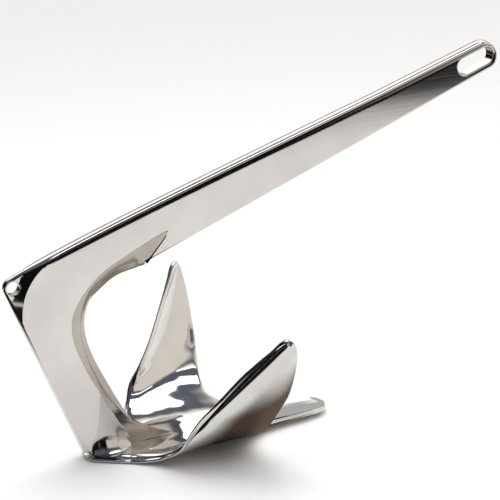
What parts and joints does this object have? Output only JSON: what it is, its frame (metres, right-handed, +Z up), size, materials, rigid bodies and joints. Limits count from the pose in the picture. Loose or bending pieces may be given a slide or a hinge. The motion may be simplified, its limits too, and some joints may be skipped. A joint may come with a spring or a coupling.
{
  "type": "claw anchor",
  "caption": "Claw-type boat anchor in mirror-polished stainless steel: J-shaped flat shank with a chain slot and a heel trip eye, welded on edge to a pressed three-lobed claw.",
  "frame": {"origin": "bottom centre of the overall box, on the level floor that the claw stands on", "axes": "+X forward, from the heel towards the chain end of the shank; +Y across the claw to the anchor's left; +Z up"},
  "size_m": [0.5469, 0.3086, 0.3686],
  "materials": {
    "polished_steel": "mirror polished stainless, faint polishing lines",
    "pressed_plate": "mirror polished stainless plate, slightly wavy from pressing",
    "ground_weld": "ground and buffed weld, a little duller than the plate"
  },
  "bodies": {
    "root": {"shank": "polished_steel", "throat_stiffener": "polished_steel", "claw": "pressed_plate", "foot_weld_left": "ground_weld", "foot_weld_right": "ground_weld"}
  },
  "joints": []
}
